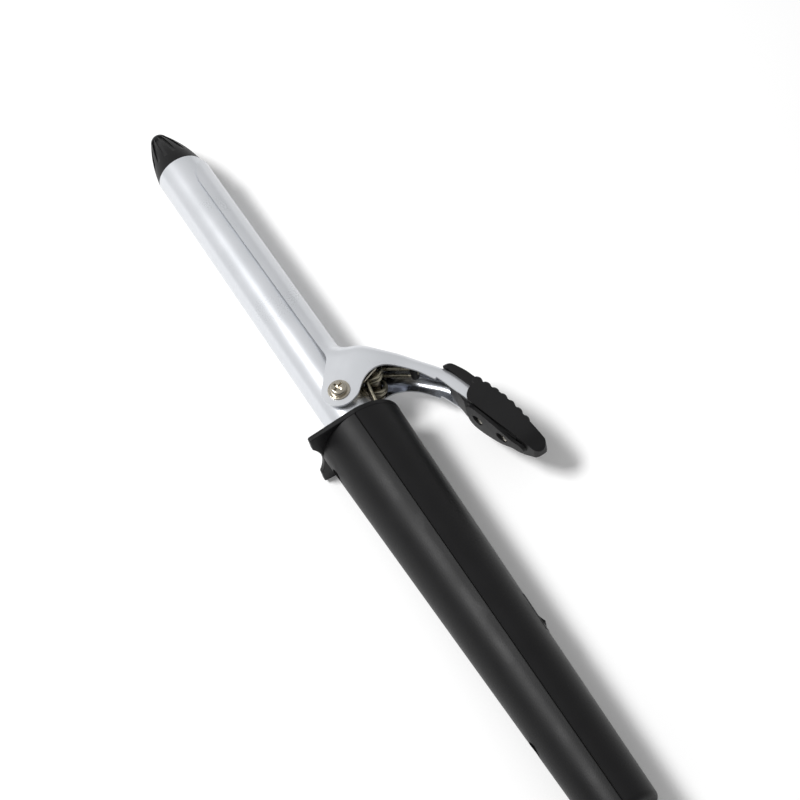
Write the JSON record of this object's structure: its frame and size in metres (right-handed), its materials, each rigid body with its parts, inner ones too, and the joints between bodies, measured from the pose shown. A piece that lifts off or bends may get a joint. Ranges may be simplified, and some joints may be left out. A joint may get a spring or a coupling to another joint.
{
  "type": "curling iron",
  "caption": "Hand-held curling iron: tapered two-piece handle with stand feet, heated round barrel with cool tip, and a sprung clamp with a ridged thumb lever.",
  "frame": {"origin": "centre of the cord inlet in the plane of the handle's rear face", "axes": "+X along the barrel towards the cool tip, +Z along the clamp's pivot, -Y towards the thumb lever"},
  "size_m": [0.3369, 0.0692, 0.032],
  "materials": {
    "black_plastic": "fine satin texture",
    "plated_steel": "polished plating",
    "nickel_steel": "nickel plated",
    "zinc_wire": "yellow zinc plated",
    "sleeve_rubber": "matte",
    "bakelite": "moulded",
    "ceramic": "fired",
    "aluminium": "mill",
    "polyimide": "film",
    "brass": "stamped",
    "lead_insulation": "silicone"
  },
  "bodies": {
    "iron": {"barrel_seat": "bakelite", "barrel_tube": "plated_steel", "contact_carrier": "bakelite", "contact_strips": "brass", "handle_lower": "black_plastic", "handle_screws": "nickel_steel", "handle_upper": "black_plastic", "heater_electrodes": "aluminium", "hinge_bracket": "nickel_steel", "insulating_films": "polyimide", "lead_fuse": "lead_insulation", "lead_live": "lead_insulation", "lead_neutral": "lead_insulation", "lead_switch": "lead_insulation", "pivot_screws": "nickel_steel", "pivot_washers": "nickel_steel", "ptc_heater": "ceramic", "spreader_lower": "aluminium", "spreader_upper": "aluminium", "spring_pin": "nickel_steel", "stand_flange": "black_plastic", "switch_housing": "black_plastic", "switch_terminals": "brass", "thermal_fuse": "aluminium", "tip_cap": "black_plastic", "torsion_spring": "zinc_wire"},
    "clamp_lever": {"clamp": "plated_steel", "thumb_grip_upper": "black_plastic", "thumb_grip_lower": "black_plastic", "grip_screws": "nickel_steel", "spring_sleeve": "sleeve_rubber"},
    "rocker_button": {"rocker": "black_plastic"},
    "cord_swivel": {"swivel_gland": "black_plastic", "slip_rings": "brass"}
  },
  "joints": [
    {"name": "clamp_pivot", "type": "hinge", "parent": "iron", "child": "clamp_lever", "pos_m": [0.1795, -0.0005, 0], "axis": [0, 0, -1], "range_deg": [0, 24], "stiffness_Nm_per_rad": 0.35, "springref_deg": -17.19, "deforming": ["torsion_spring"]},
    {"name": "rocker_tilt", "type": "hinge", "parent": "iron", "child": "rocker_button", "pos_m": [0.0736, -0.01166, 0], "axis": [0, 0, -1], "range_deg": [0, 16]},
    {"name": "cord_turn", "type": "hinge", "parent": "iron", "child": "cord_swivel", "pos_m": [0, 0, 0], "axis": [1, 0, 0], "continuous": true}
  ]
}
